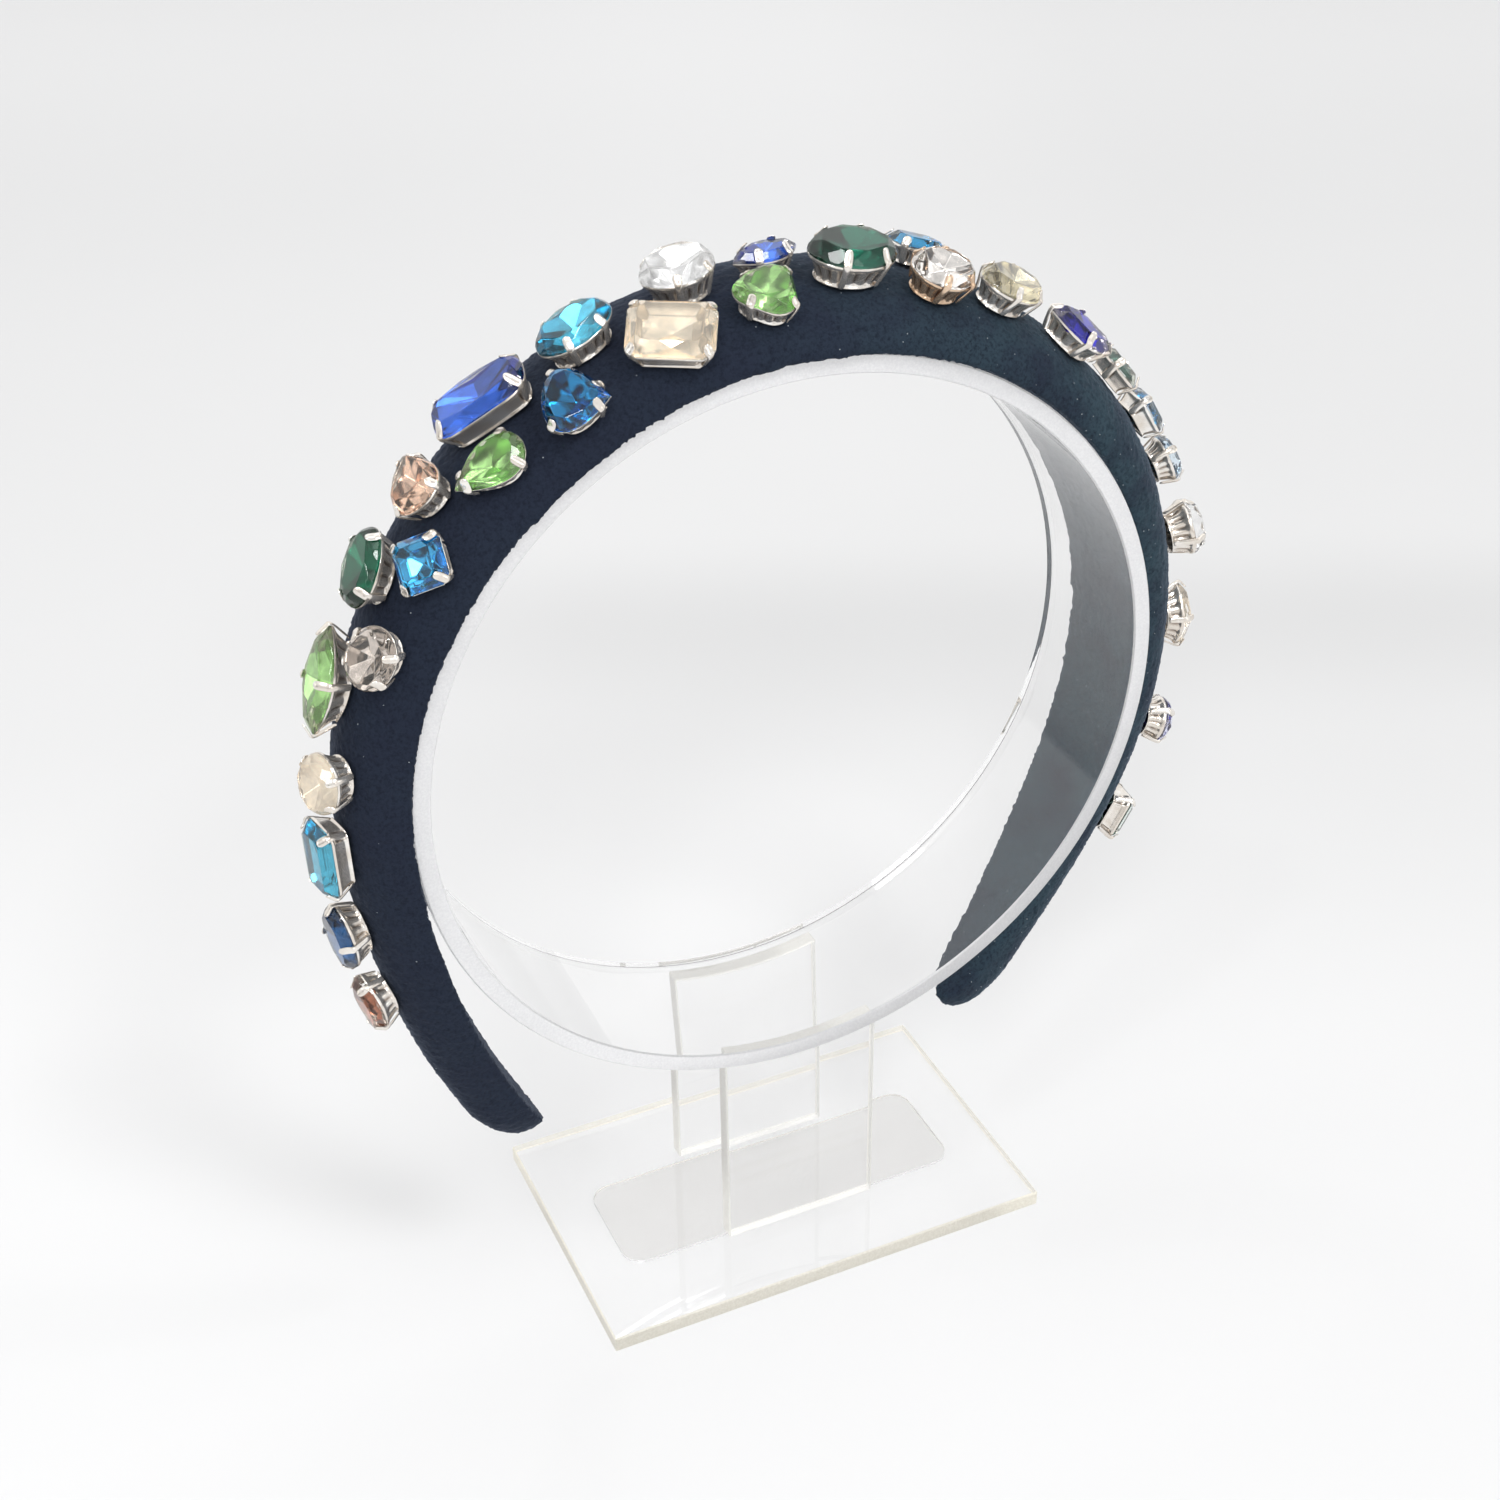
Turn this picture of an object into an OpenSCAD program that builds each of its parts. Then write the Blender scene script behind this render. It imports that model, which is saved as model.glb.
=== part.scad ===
// Padded velvet diadem set with cut stones, resting on the clear ring of a display stand.
// Frame: origin under the middle of the base plate, +X to the wearer's left, +Y to the rear, +Z up.

/* [Stand] */
// Width of the base plate, side to side
base_w = 82; // [60:1:120]
// Depth of the base plate, front to back
base_d = 52; // [42:1:90]
// Thickness of the sheet that the base plate and the uprights are cut from
sheet_t = 3; // [2:0.5:5]
// Width of each upright
upright_w = 28; // [16:1:40]
// Outer diameter of the ring that carries the band
ring_d = 125; // [110:1:140]
// Wall of the ring
ring_wall = 3; // [2:0.5:5]
// Length of the ring, front to back
ring_l = 27.5; // [24:0.5:36]
// Height of the ring's lowest point above the base plate
ring_lift = 38.5; // [24:0.5:60]
// How far an upright's outer face stands in from the ring's end
upright_inset = 1; // [0.5:0.5:4]
// Glue line left between two clear pieces
glue_gap = 0.1; // [0.05:0.05:0.2]

/* [Frosted pad] */
// Width of the pad let into the underside of the base plate
pad_w = 64; // [30:1:70]
// Depth of the pad
pad_d = 20; // [12:1:36]
// Radius of the pad's corners
pad_r = 6; // [2:0.5:6]
// Thickness of the pad
pad_t = 0.4; // [0.2:0.1:0.8]

/* [Band] */
// Length of one leg of the band, from the crown to its end, on the inner side
leg_l = 169; // [150:1:180]
// Width of the band at the crown
band_w = 31; // [24:1:38]
// Height of the padding above the inner side
band_t = 9; // [7:0.5:12]
// Squareness of the padding's cross-section, 2 is elliptical
band_power = 2.2; // [2:0.1:3.5]
// How far the crown is turned to the right round the ring
crown_turn = 3; // [-10:1:15]
// Gap between the band and the ring
band_gap = 0.3; // [0.2:0.1:0.6]
// Angle from the top where the left leg leaves the ring
left_leave = 95; // [70:1:130]
// Radius of the left leg past that place
left_free_r = 150; // [90:5:300]
// Angle from the top where the right leg leaves the ring
right_leave = 128; // [90:1:145]
// Radius of the right leg past that place
right_free_r = 88; // [70:1:200]
// Length of the rounding at each end of the band
end_round = 12; // [6:1:20]

/* [Stones] */
// Length of the size of stone that all stones are shares of
stone_size = 14; // [11:0.5:14.5]
// Height of a stone's crown as a share of its width
crown_share = 0.2; // [0.12:0.01:0.26]
// Thickness of a stone's girdle
girdle_t = 0.5; // [0.3:0.1:0.9]
// Clearance between a stone and its setting
stone_gap = 0.12; // [0.1:0.01:0.2]

/* [Settings] */
// Gap between a setting's floor and the velvet
seat_gap = 0.2; // [0.1:0.1:0.4]
// Height of a setting's wall as a share of its stone's width
cup_share = 0.38; // [0.3:0.01:0.45]
// Thickness of a setting's floor and wall
cup_t = 0.4; // [0.3:0.1:0.7]
// Width of a claw
claw_w = 1; // [0.7:0.1:1.6]
// Thickness of a claw
claw_t = 0.4; // [0.3:0.1:0.7]
// How far a claw reaches over the stone, as a share of the way to its middle
claw_reach = 0.2; // [0.08:0.01:0.3]

/* [Hidden] */
smooth = 96; // facets asked of round pieces
ring_r = ring_d / 2;
ring_z = sheet_t + ring_lift + ring_r;
inner_r = ring_r + band_gap;
upright_foot = sheet_t + glue_gap;
upright_face = ring_l / 2 - upright_inset;
degrees_per_radian = 180 / PI;

// Taper of the band from the crown to its end:
// share of leg_l, share of band_w, share of band_t
taper = [
  [0.00, 1.00, 0.93],
  [0.25, 0.87, 1.00],
  [0.50, 0.65, 1.00],
  [0.65, 0.60, 1.00],
  [0.80, 0.48, 1.00],
  [0.92, 0.33, 0.97],
  [1.00, 0.30, 0.93]
];
// Lean of the band's middle line towards the rear, from the left end to the right end:
// share of leg_l, share of band_w
lean = [
  [-1.00, -0.27],
  [-0.60, -0.21],
  [-0.30, -0.10],
  [ 0.00, -0.02],
  [ 0.30, -0.06],
  [ 0.60, -0.05],
  [ 0.80, -0.12],
  [ 1.00, -0.42]
];
end_low = 0.12;      // width left at the very end, as a share of the local width
end_thick = 0.25;    // thickness left at the very end, as a share of the local thickness
leg_steps = 36;      // sections in one leg
dome_steps = 14;     // spans across the padding

// Places and shapes of the stones, from the left end to the right end. The columns are:
// place along the leg as a share of leg_l, place across as a share of the local half width
// with the front negative, length and width as shares of stone_size, turn of the length
// away from the band's run in degrees, and cut
stones = [
  [-0.764, -0.23, 0.80, 0.50,    4, "navette"],
  [-0.690, -0.20, 0.82, 0.54,    0, "oval"],
  [-0.612, -0.25, 0.83, 0.54,    0, "octagon"],
  [-0.546, -0.36, 0.66, 0.60,    0, "oval"],
  [-0.476, -0.08, 1.13, 0.56,   12, "navette"],
  [-0.437, -0.66, 0.68, 0.56,   -4, "oval"],
  [-0.389, -0.13, 0.83, 0.56,   30, "oval"],
  [-0.359, -0.69, 0.54, 0.54,  -37, "octagon"],
  [-0.320, -0.16, 0.72, 0.60,   68, "pear"],
  [-0.277, -0.65, 0.81, 0.50,  169, "pear"],
  [-0.251, -0.05, 1.08, 0.60,  -17, "octagon"],
  [-0.202, -0.74, 0.67, 0.66,  -34, "pear"],
  [-0.172, -0.14, 0.86, 0.60,    8, "oval"],
  [-0.120, -0.68, 0.88, 0.66,  -32, "octagon"],
  [-0.089, -0.09, 0.79, 0.70,   10, "oval"],
  [-0.021, -0.06, 0.80, 0.40,   13, "navette"],
  [-0.043, -0.63, 0.71, 0.58,  165, "trillion"],
  [ 0.034, -0.36, 0.98, 0.70,    4, "oval"],
  [ 0.110,  0.14, 0.58, 0.46,    0, "octagon"],
  [ 0.103, -0.51, 0.77, 0.61,   16, "oval"],
  [ 0.169, -0.41, 0.91, 0.60,   24, "oval"],
  [ 0.241, -0.48, 0.93, 0.53,   -2, "navette"],
  [ 0.304, -0.32, 0.46, 0.46,    0, "octagon"],
  [ 0.362, -0.18, 0.55, 0.46,    0, "octagon"],
  [ 0.414, -0.22, 0.56, 0.48,    0, "oval"],
  [ 0.483, -0.28, 0.66, 0.66,    0, "oval"],
  [ 0.569, -0.20, 0.77, 0.47,  -10, "navette"],
  [ 0.668, -0.25, 0.57, 0.53,    0, "oval"],
  [ 0.760, -0.22, 0.60, 0.50,    0, "octagon"]
];
crown_first = 12; // index of the first stone whose setting belongs to the crown
right_first = 21; // index of the first stone whose setting belongs to the right leg
table_share = 0.6;      // size of a stone's table against its girdle
keel_share = 0.5;       // size of a stone's flat underside against its girdle
corner_cut = 0.3;       // corner cut of an octagon, as a share of its half width
round_sides = 16;       // sides of the stones that aren't octagons
claw_places = [1, 3, 5, 7]; // places of the claws round a stone, in eighths of a turn
claw_lift = 1.6;            // clearance under a claw against stone_gap

function stone_name(i) = str("stone_", i < 9 ? "0" : "", i + 1);

// Value of a table's column at a place, on a smooth line through its rows
function slope(rows, i, c) =
  let(low = max(i - 1, 0), high = min(i + 1, len(rows) - 1))
  (rows[high][c] - rows[low][c]) / (rows[high][0] - rows[low][0]);
function row_at(rows, u, i = 0) =
  i >= len(rows) - 2 || u < rows[i + 1][0] ? i : row_at(rows, u, i + 1);
function smooth_value(rows, c, u) =
  let(i = row_at(rows, u),
      span = rows[i + 1][0] - rows[i][0],
      k = (u - rows[i][0]) / span,
      k2 = k * k,
      k3 = k2 * k)
  (2 * k3 - 3 * k2 + 1) * rows[i][c] + (k3 - 2 * k2 + k) * span * slope(rows, i, c)
  + (3 * k2 - 2 * k3) * rows[i + 1][c] + (k3 - k2) * span * slope(rows, i + 1, c);

// Rounding of the band's end: 1 along the leg, falling as a quarter circle to the end
function end_fall(u) =
  let(e = max(0, (abs(u) - 1) * leg_l / end_round + 1)) sqrt(max(0, 1 - e * e));
function half_width(u) =
  band_w / 2 * smooth_value(taper, 1, abs(u)) * max(end_low, end_fall(u));
function thickness(u) =
  band_t * smooth_value(taper, 2, abs(u)) * (end_thick + (1 - end_thick) * end_fall(u));
function middle_y(u) = band_w * smooth_value(lean, 1, u);

// Run of the inner side: arcs that meet tangentially. Gives x, z and the outward angle.
function run_arc(centre_angle, radius, angle) =
  [(inner_r - radius) * sin(centre_angle) + radius * sin(angle),
   (inner_r - radius) * cos(centre_angle) + radius * cos(angle) + ring_z,
   angle];
function run(u) =
  let(angle = crown_turn + u * leg_l / inner_r * degrees_per_radian)
  angle < -left_leave
    ? run_arc(-left_leave, left_free_r, -left_leave + (angle + left_leave) * inner_r / left_free_r)
  : angle > right_leave
    ? run_arc(right_leave, right_free_r, right_leave + (angle - right_leave) * inner_r / right_free_r)
  : run_arc(0, inner_r, angle);

// Height of the padding above the inner side, at a share t of the half width
function dome(u, t) = thickness(u) * sqrt(max(0, 1 - pow(abs(t), band_power)));
function band_point(u, t, h) =
  let(r = run(u)) [r[0] + sin(r[2]) * h, middle_y(u) + half_width(u) * t, r[1] + cos(r[2]) * h];
// Angle that the padding's surface leans towards the front at t
function dome_tilt(u, t) =
  let(step = 0.01, rise = dome(u, t + step) - dome(u, t - step))
  atan2(rise, 2 * step * half_width(u));

// Two sides of a stone's outline are built from these shares of its half length and width
function pear_side(a) = sin(a) * abs(sin(a / 2)) / 0.77;
function trillion_r(a) = 0.92 + 0.08 * cos(3 * a);
function cut_corner(a, b) = let(c = corner_cut * b)
  [[a, c - b], [a, b - c], [a - c, b], [c - a, b], [-a, b - c], [-a, c - b], [c - a, -b], [a - c, -b]];
function rim_point(cut, a, b, angle) =
  cut == "navette" ? [a * cos(angle), b * sin(angle) * abs(sin(angle))]
  : cut == "pear" ? [a * cos(angle), b * pear_side(angle)]
  : cut == "trillion" ? [a * trillion_r(angle) * cos(angle), b * trillion_r(angle) * sin(angle) / 0.87]
  : [a * cos(angle), b * sin(angle)];
function outline(cut, a, b) =
  cut == "octagon" ? cut_corner(a, b)
  : [for (i = [0 : round_sides - 1]) rim_point(cut, a, b, (i + 0.5) * 360 / round_sides)];
// Outward direction of the outline's side that starts at point i
function side_normal(points, i) =
  let(n = len(points), d = points[(i + 1) % n] - points[i]) [d[1], -d[0]] / norm(d);
// Outline with each side moved out by d
function pushed_out(points, d) =
  let(n = len(points))
  [for (i = [0 : n - 1])
    let(m = side_normal(points, (i + n - 1) % n), k = side_normal(points, i))
    points[i] + d * (m + k) / (1 + m * k)];

module stand_base() {
  color([0.93, 0.95, 0.96, 0.5])
    difference() {
      translate([-base_w / 2, -base_d / 2, 0])
        cube([base_w, base_d, sheet_t]);
      translate([0, 0, -1])
        linear_extrude(pad_t + glue_gap + 1)
          pad_outline(glue_gap);
    }
}

module pad_outline(grow) {
  square([pad_w - 2 * pad_r, pad_d + 2 * grow], center = true);
  square([pad_w + 2 * grow, pad_d - 2 * pad_r], center = true);
  for (x = [-1, 1], y = [-1, 1])
    translate([x * (pad_w / 2 - pad_r), y * (pad_d / 2 - pad_r)])
      circle(r = pad_r + grow, $fn = smooth);
}

module frosted_pad() {
  color([0.86, 0.87, 0.88])
    linear_extrude(pad_t)
      pad_outline(0);
}

// One upright, hollowed on top to the ring, with its outer face at y and its sheet towards the middle
module upright(side) {
  corner_z = ring_z - sqrt(pow(ring_r + glue_gap, 2) - pow(upright_w / 2, 2));
  inner_y = upright_face - sheet_t;
  color([0.93, 0.95, 0.96, 0.5])
    difference() {
      translate([-upright_w / 2, side > 0 ? inner_y : -upright_face, upright_foot])
        cube([upright_w, sheet_t, corner_z - upright_foot]);
      translate([0, 0, ring_z])
        rotate([90, 0, 0])
          cylinder(r = ring_r + glue_gap, h = 2 * ring_l, center = true, $fn = smooth);
    }
}

module stand_ring() {
  color([0.93, 0.95, 0.96, 0.5])
    translate([0, 0, ring_z])
      rotate([90, 0, 0])
        difference() {
          cylinder(r = ring_r, h = ring_l, center = true, $fn = smooth);
          cylinder(r = ring_r - ring_wall, h = 2 * ring_l, center = true, $fn = smooth);
        }
}

// Closed skin through a list of rings that have the same number of points
module skin(rings) {
  n = len(rings[0]);
  last = len(rings) - 1;
  sides = [for (i = [0 : last - 1], j = [0 : n - 1])
    let(a = i * n + j, b = i * n + (j + 1) % n) [a, a + n, b + n, b]];
  polyhedron(
    points = [for (r = rings) each r],
    faces = concat(sides, [[for (j = [0 : n - 1]) j]], [[for (j = [n - 1 : -1 : 0]) last * n + j]]),
    convexity = 6
  );
}

module padded_band() {
  places = [for (i = [-leg_steps : leg_steps]) sin(90 * i / leg_steps)];
  shares = [for (k = [0 : dome_steps]) -cos(180 * k / dome_steps)];
  color([0.13, 0.16, 0.24])
    skin([for (u = places) [for (t = shares) band_point(u, t, dome(u, t))]]);
}

// Puts its children on the padding, with +Z out of the surface and +X along the band
module on_band(row) {
  u = row[0];
  t = row[1];
  translate(band_point(u, t, dome(u, t)))
    rotate([0, run(u)[2], 0])
      rotate([dome_tilt(u, t), 0, 0])
        rotate([0, 0, row[4]])
          children();
}

// Height of a setting's wall, and of the underside of its stone's girdle above the velvet
function cup_h(row) = cup_share * row[3] * stone_size;
function girdle_z(row) = seat_gap + cup_h(row);

module cut_stone(row) {
  a = row[2] * stone_size / 2;
  b = row[3] * stone_size / 2;
  rim = outline(row[5], a, b);
  crown_h = 2 * b * crown_share;
  levels = [
    [seat_gap + cup_t + stone_gap, keel_share],
    [girdle_z(row), 1],
    [girdle_z(row) + girdle_t, 1],
    [girdle_z(row) + girdle_t + crown_h, table_share]
  ];
  skin([for (level = levels) [for (q = rim) [q[0] * level[1], q[1] * level[1], level[0]]]]);
}

module setting(row) {
  a = row[2] * stone_size / 2;
  b = row[3] * stone_size / 2;
  rim = outline(row[5], a, b);
  wall_in = pushed_out(rim, stone_gap);
  wall_out = pushed_out(rim, stone_gap + cup_t);
  difference() {
    translate([0, 0, seat_gap])
      linear_extrude(cup_h(row))
        polygon(wall_out);
    translate([0, 0, seat_gap + cup_t])
      linear_extrude(cup_h(row))
        polygon(wall_in);
  }
  for (place = claw_places) {
    i = claw_side(len(rim), place);
    normal = side_normal(rim, i);
    middle = (rim[i] + rim[(i + 1) % len(rim)]) / 2;
    translate([middle[0], middle[1], 0])
      rotate([0, 0, atan2(normal[1], normal[0])])
        claw(middle * normal * claw_reach, 2 * b * crown_share, girdle_z(row) + girdle_t);
  }
}

// Side of the outline that a claw stands at, from the claw's place in eighths of a turn
function claw_side(sides, place) = (place - 1) * sides / 8 + 1;

// A claw with the stone's rim at x = 0, bent over the crown by its reach
module claw(reach, crown_h, top) {
  inner_x = stone_gap + cup_t / 2;
  outer_x = inner_x + claw_t;
  bend_z = top + claw_lift * stone_gap;
  tip_z = bend_z + crown_h * claw_reach / (1 - table_share);
  rotate([90, 0, 0])
    linear_extrude(claw_w, center = true)
      polygon([
        [inner_x, seat_gap + cup_t / 2],
        [outer_x, seat_gap + cup_t / 2],
        [outer_x, bend_z + claw_t / 2],
        [claw_t / 2 - reach, tip_z + claw_t],
        [-reach, tip_z],
        [0, bend_z],
        [inner_x, bend_z]
      ]);
}

module settings(first, last) {
  color([0.78, 0.78, 0.76])
    for (i = [first : last])
      on_band(stones[i])
        setting(stones[i]);
}

module upright_front() {
  upright(-1);
}

module upright_rear() {
  upright(1);
}

module settings_left() {
  settings(0, crown_first - 1);
}

module settings_crown() {
  settings(crown_first, right_first - 1);
}

module settings_right() {
  settings(right_first, len(stones) - 1);
}

module stone(i) {
  color(stone_colours[i])
    on_band(stones[i])
      cut_stone(stones[i]);
}

stone_colours = [
  "salmon", "midnightblue", "deepskyblue", "wheat", "limegreen", "white", "seagreen", "dodgerblue",
  "peachpuff", "limegreen", "royalblue", "steelblue", "turquoise", "wheat", "white", "royalblue",
  "limegreen", "seagreen", "dodgerblue", "white", "tan", "mediumblue", "darkgreen", "steelblue",
  "dodgerblue", "white", "wheat", "mediumblue", "darkgreen"
];

stand_base();
frosted_pad();
upright_front();
upright_rear();
stand_ring();
padded_band();
settings_left();
settings_crown();
settings_right();
for (i = [0 : len(stones) - 1])
  stone(i);
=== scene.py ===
import math
import bpy
from mathutils import Matrix, Vector


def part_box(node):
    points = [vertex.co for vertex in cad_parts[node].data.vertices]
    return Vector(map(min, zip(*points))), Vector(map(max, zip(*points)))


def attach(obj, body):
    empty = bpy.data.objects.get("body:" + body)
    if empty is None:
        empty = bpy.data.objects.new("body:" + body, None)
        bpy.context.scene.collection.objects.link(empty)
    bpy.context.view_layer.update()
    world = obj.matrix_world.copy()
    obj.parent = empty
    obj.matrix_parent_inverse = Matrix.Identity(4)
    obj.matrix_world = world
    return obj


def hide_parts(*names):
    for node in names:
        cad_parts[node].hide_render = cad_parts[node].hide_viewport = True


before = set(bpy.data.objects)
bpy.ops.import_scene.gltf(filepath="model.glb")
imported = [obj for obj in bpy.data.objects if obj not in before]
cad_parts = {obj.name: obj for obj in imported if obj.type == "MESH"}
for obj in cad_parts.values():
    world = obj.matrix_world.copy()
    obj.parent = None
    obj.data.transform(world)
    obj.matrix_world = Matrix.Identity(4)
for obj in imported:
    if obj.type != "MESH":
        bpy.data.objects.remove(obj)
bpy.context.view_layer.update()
scene = bpy.context.scene
scene.view_settings.view_transform = "Standard"
mm = 0.001


def colour(red, green, blue):
    # a colour as a screen shows it, 0 to 255, made linear
    steps = [c / 255 for c in (red, green, blue)]
    return tuple(c / 12.92 if c < 0.04045 else ((c + 0.055) / 1.055) ** 2.4 for c in steps) + (1.0,)


def onlySelect(piece):
    bpy.ops.object.select_all(action="DESELECT")
    piece.select_set(True)
    bpy.context.view_layer.objects.active = piece


def applyModifiers(piece):
    onlySelect(piece)
    for modifier in list(piece.modifiers):
        bpy.ops.object.modifier_apply(modifier=modifier.name)


def copyPiece(piece, name):
    twin = bpy.data.objects.new(name, piece.data.copy())
    scene.collection.objects.link(twin)
    return twin


def joinPieces(pieces, name):
    onlySelect(pieces[0])
    for piece in pieces[1:]:
        piece.select_set(True)
    bpy.ops.object.join()
    pieces[0].name = name
    pieces[0].data.name = name
    return pieces[0]


def turnOutward():
    # all faces of the mesh in edit mode look outwards, and edit mode ends
    bpy.ops.mesh.select_all(action="SELECT")
    bpy.ops.mesh.normals_make_consistent(inside=False)
    bpy.ops.object.mode_set(mode="OBJECT")


def boxOf(nodeName):
    return [Vector(corner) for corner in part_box(nodeName)]


# Camera, where the photograph was taken from
view = {"place": (-0.125568, -0.273791, 0.288695), "turn": (57.156, 0.722, -24.586), "lens": 53.49,
        "sensor": 36}
bpy.ops.object.camera_add(location=view["place"], rotation=[math.radians(a) for a in view["turn"]])
scene.camera = bpy.context.object
scene.camera.name = "photo_camera"
scene.camera.data.lens = view["lens"]
scene.camera.data.sensor_width = view["sensor"]
print("camera placed")


# Nodes that every material is built from
def newMaterial(name):
    material = bpy.data.materials.new(name)
    material.use_nodes = True
    return material, material.node_tree.nodes, material.node_tree.links


def addNode(nodes, kind, **values):
    node = nodes.new(kind)
    for key, value in values.items():
        if key in node.inputs.keys():
            node.inputs[key].default_value = value
        else:
            setattr(node, key, value)
    return node


def plug(links, value, socket):
    # the value is another node's output or a constant
    if hasattr(value, "is_linked"):
        links.new(value, socket)
    else:
        socket.default_value = value


def addMath(nodes, links, operation, *values):
    node = addNode(nodes, "ShaderNodeMath", operation=operation)
    for value, socket in zip(values, node.inputs):
        plug(links, value, socket)
    return node.outputs[0]


def addSpan(nodes, links, value, spanIn=(0.0, 1.0), spanOut=(0.0, 1.0), kind="LINEAR"):
    # carries a value from one span to another, and holds it at the ends
    node = addNode(nodes, "ShaderNodeMapRange", interpolation_type=kind)
    for name, entry in zip(("Value", "From Min", "From Max", "To Min", "To Max"), (value, *spanIn, *spanOut)):
        plug(links, entry, node.inputs[name])
    return node.outputs["Result"]


def addRamp(nodes, stops):
    node = nodes.new("ShaderNodeValToRGB")
    ramp = node.color_ramp
    while len(ramp.elements) < len(stops):
        ramp.elements.new(0.5)
    for element, (place, value) in zip(ramp.elements, stops):
        element.position = place
        element.color = value if len(value) == 4 else tuple(value) + (1.0,)
    return node


def grey(level):
    return (level, level, level, 1.0)


# Speckle: mottled mask, fine mask and a height, all from the object's own coordinates.
# The more cover, the more of the surface the masks fill
maskSpan = {"low": 0.5, "high": 0.8, "cover": -0.3}


def makeSpeckle():
    group = bpy.data.node_groups.new("speckle", "ShaderNodeTree")
    for name, value in (("Broad", 60.0), ("Fine", 2500.0), ("Cover", 0.5)):
        socket = group.interface.new_socket(name=name, in_out="INPUT", socket_type="NodeSocketFloat")
        socket.default_value = value
    for name in ("Broad mask", "Fine mask", "Height"):
        group.interface.new_socket(name=name, in_out="OUTPUT", socket_type="NodeSocketFloat")
    nodes, links = group.nodes, group.links
    start = nodes.new("NodeGroupInput")
    end = nodes.new("NodeGroupOutput")
    place = nodes.new("ShaderNodeTexCoord")
    broad = addNode(nodes, "ShaderNodeTexNoise", Detail=4.0, Roughness=0.6)
    fine = addNode(nodes, "ShaderNodeTexNoise", Detail=3.0, Roughness=0.7)
    span = [addMath(nodes, links, "MULTIPLY_ADD", start.outputs["Cover"], maskSpan["cover"], maskSpan[name])
            for name in ("low", "high")]
    for node, name in ((broad, "Broad"), (fine, "Fine")):
        links.new(place.outputs["Object"], node.inputs["Vector"])
        links.new(start.outputs[name], node.inputs["Scale"])
        links.new(addSpan(nodes, links, node.outputs["Fac"], span), end.inputs[name + " mask"])
    links.new(fine.outputs["Fac"], end.inputs["Height"])
    return group


speckleGroup = makeSpeckle()


def addSpeckle(nodes, broad, fine, cover):
    node = nodes.new("ShaderNodeGroup")
    node.node_tree = speckleGroup
    node.inputs["Broad"].default_value = broad
    node.inputs["Fine"].default_value = fine
    node.inputs["Cover"].default_value = cover
    return node


def mixColours(nodes, links, mask, first, second):
    node = addNode(nodes, "ShaderNodeMix", data_type="RGBA")
    for value, socket in ((mask, node.inputs[0]), (first, node.inputs[6]), (second, node.inputs[7])):
        plug(links, value, socket)
    return node.outputs[2]


def setPaint(nodes, links, mask, first, second):
    links.new(mixColours(nodes, links, mask, first, second), nodes["Principled BSDF"].inputs["Base Color"])


def addBump(nodes, links, height, strength, distance):
    node = addNode(nodes, "ShaderNodeBump", Strength=strength, Distance=distance)
    links.new(height, node.inputs["Height"])
    links.new(node.outputs["Normal"], nodes["Principled BSDF"].inputs["Normal"])


def setShader(nodes, **values):
    for name, value in values.items():
        nodes["Principled BSDF"].inputs[name.replace("_", " ")].default_value = value


# Pale floor whose tones are painted light and shade: lighter in front, with a soft darker band of painted
# shade where the paper starts to rise. Its tones run away from the start, each a place in metres and a lightness,
# and length is where they end. The left tones give way to the right ones over the sides span. The patches are
# soft ovals away from the start and aside of it: a painted pool of light and a painted shadow
floorLook = {"size": 6.0, "drop": 0.05 * mm, "away": (0.4161, 0.9093), "start": (-0.1256, -0.2738),
             "tint": (1.0, 1.0, 1.004), "length": 1.2,
             "right": [(0.24, 0.715), (0.32, 0.715), (0.45, 0.668), (0.508, 0.624), (0.562, 0.688), (0.80, 0.712),
                       (1.10, 0.77)],
             "left": [(0.24, 0.715), (0.33, 0.743), (0.46, 0.684), (0.80, 0.70), (1.10, 0.755)],
             "sides": (-0.16, -0.05), "fade": (0.03, 0.15), "faded": 0.955, "grain": 0.993,
             "patches": [{"away": 0.405, "aside": -0.035, "deep": 0.055, "wide": 0.10, "lift": 1.10},
                         {"away": 0.304, "aside": -0.056, "deep": 0.030, "wide": 0.055, "lift": 0.92}]}
bpy.ops.mesh.primitive_plane_add(size=floorLook["size"], location=(0, 0, -floorLook["drop"]))
floor = bpy.context.object
floor.name = "floor"
paper, nodes, links = newMaterial("pale_paper")
place = nodes.new("ShaderNodeTexCoord")
speckle = addSpeckle(nodes, broad=4.0, fine=900.0, cover=0.5)


def floorRun(direction):
    # distance over the floor in one direction, from the start of its tones
    across = addNode(nodes, "ShaderNodeVectorMath", operation="DOT_PRODUCT")
    links.new(place.outputs["Object"], across.inputs[0])
    across.inputs[1].default_value = (*direction, 0)
    start = Vector(direction).dot(Vector(floorLook["start"]))
    return addMath(nodes, links, "SUBTRACT", across.outputs["Value"], start)


away = floorRun(floorLook["away"])
sideways = floorRun((floorLook["away"][1], -floorLook["away"][0]))
tones = []
# the left and right tones are painted light and shade, with the band of painted shade in the right ones
for name in ("left", "right"):
    ramp = addRamp(nodes, [(run / floorLook["length"], [level * tint for tint in floorLook["tint"]])
                           for run, level in floorLook[name]])
    ramp.color_ramp.interpolation = "EASE"
    links.new(addMath(nodes, links, "DIVIDE", away, floorLook["length"]), ramp.inputs["Fac"])
    tones.append(ramp.outputs["Color"])
paintedFloor = mixColours(nodes, links, addSpan(nodes, links, sideways, floorLook["sides"]), *tones)
grain = addSpan(nodes, links, speckle.outputs["Broad mask"], spanOut=(floorLook["grain"], 1.0))
# past the fade span the floor darkens towards the right: painted shade
fade = addSpan(nodes, links, sideways, floorLook["fade"], (1.0, floorLook["faded"]))
lightness = addMath(nodes, links, "MULTIPLY", grain, fade)
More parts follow.
